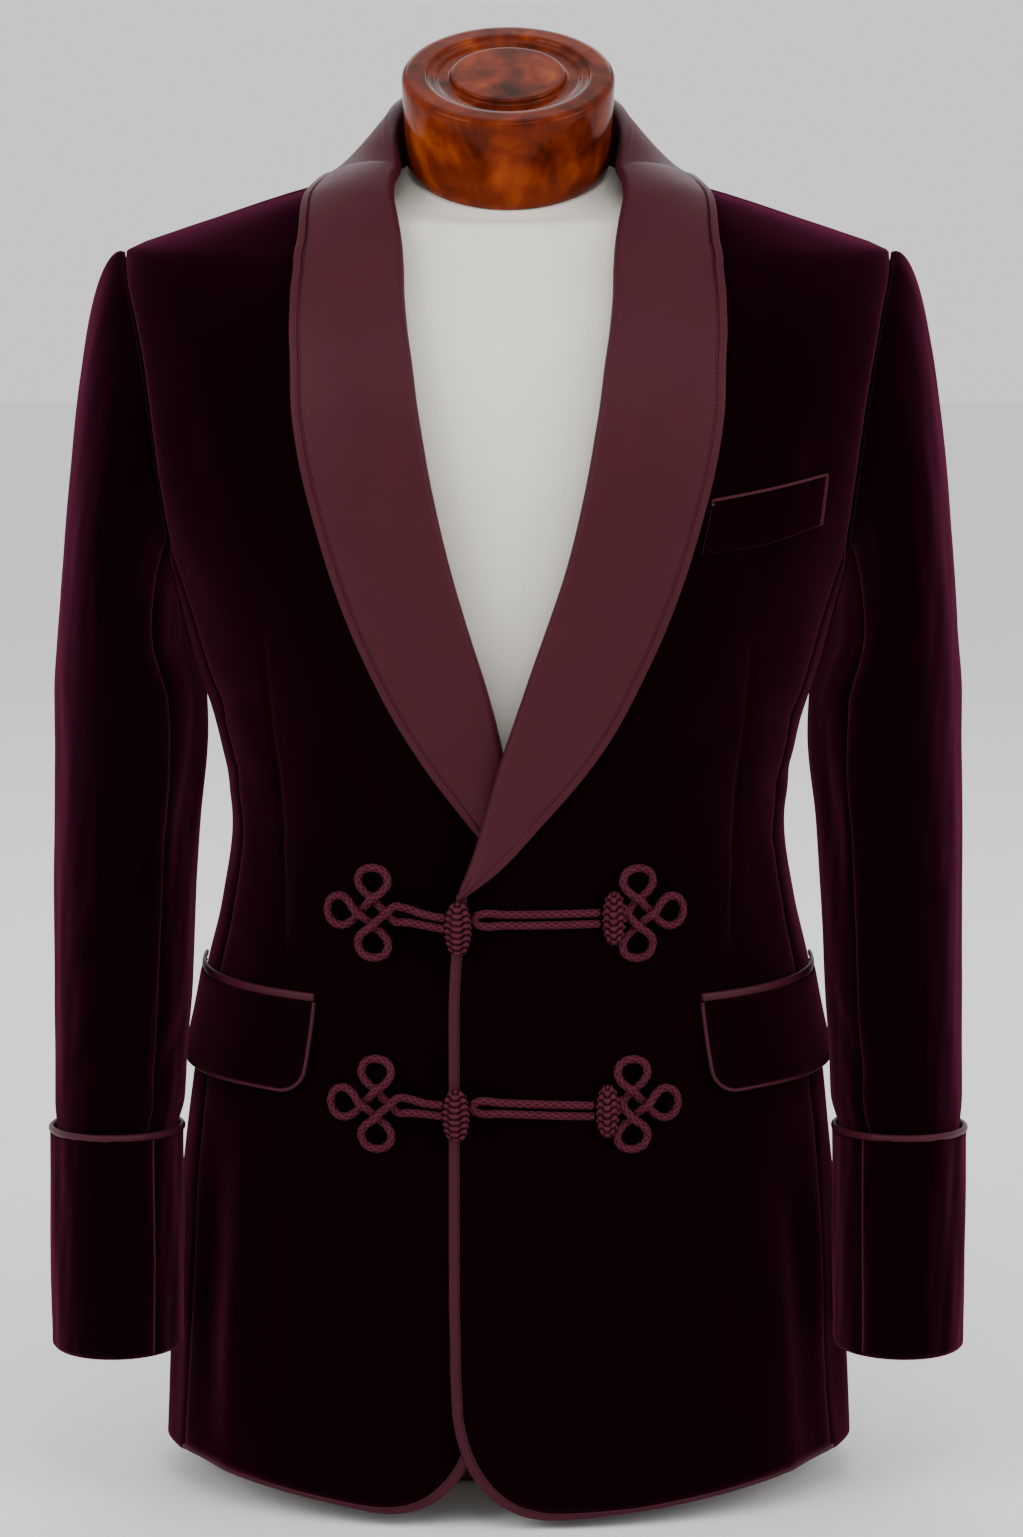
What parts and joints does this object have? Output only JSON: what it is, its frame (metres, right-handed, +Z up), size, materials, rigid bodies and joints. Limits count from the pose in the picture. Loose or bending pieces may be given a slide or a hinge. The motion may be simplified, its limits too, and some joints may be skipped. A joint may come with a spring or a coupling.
{
  "type": "velvet smoking jacket with satin shawl collar on a limbless dress form",
  "caption": "Worn-shape velvet smoking jacket with satin shawl collar, turn-back cuffs, flap pockets and knotted frog fastenings, standing on a limbless dress form with a turned neck block.",
  "frame": {"origin": "on the standing surface, in the object's middle plane and under the shoulders", "axes": "+Z up, the jacket faces -Y, +X is the wearer's left"},
  "size_m": [0.5376, 0.2945, 0.8515],
  "materials": {
    "aubergine_velvet": "dark aubergine cotton velvet, short pile, on canvas",
    "burgundy_satin": "muted burgundy silk satin",
    "silk_cord": "braided silk cord, sewn on",
    "form_cover": "pale cotton jersey drawn smooth over the form",
    "burl_wood": "polished red-brown burl, lacquered",
    "foot_wood": "dark stained wood, satin lacquer"
  },
  "bodies": {
    "root": {"back_left": "aubergine_velvet", "back_right": "aubergine_velvet", "breast_welt": "aubergine_velvet", "breast_welt_edge": "burgundy_satin", "collar_edging_left": "burgundy_satin", "collar_edging_right": "burgundy_satin", "collar_left": "burgundy_satin", "collar_right": "burgundy_satin", "cuff_left": "aubergine_velvet", "cuff_piping_left": "burgundy_satin", "cuff_piping_right": "burgundy_satin", "cuff_right": "aubergine_velvet", "flap_left": "aubergine_velvet", "flap_piping_left": "burgundy_satin", "flap_piping_right": "burgundy_satin", "flap_right": "aubergine_velvet", "form_foot": "foot_wood", "form_torso": "form_cover", "frog_cord_1": "silk_cord", "frog_cord_2": "silk_cord", "frog_left_1": "silk_cord", "frog_left_2": "silk_cord", "frog_right_1": "silk_cord", "frog_right_2": "silk_cord", "front_edging_left": "burgundy_satin", "front_edging_right": "burgundy_satin", "front_left": "aubergine_velvet", "front_right": "aubergine_velvet", "jet_left": "burgundy_satin", "jet_right": "burgundy_satin", "knot_1": "silk_cord", "knot_2": "silk_cord", "neck_block": "burl_wood", "side_panel_left": "aubergine_velvet", "side_panel_right": "aubergine_velvet", "sleeve_top_left": "aubergine_velvet", "sleeve_top_right": "aubergine_velvet", "sleeve_under_left": "aubergine_velvet", "sleeve_under_right": "aubergine_velvet", "toggle_1": "silk_cord", "toggle_2": "silk_cord"}
  },
  "joints": []
}
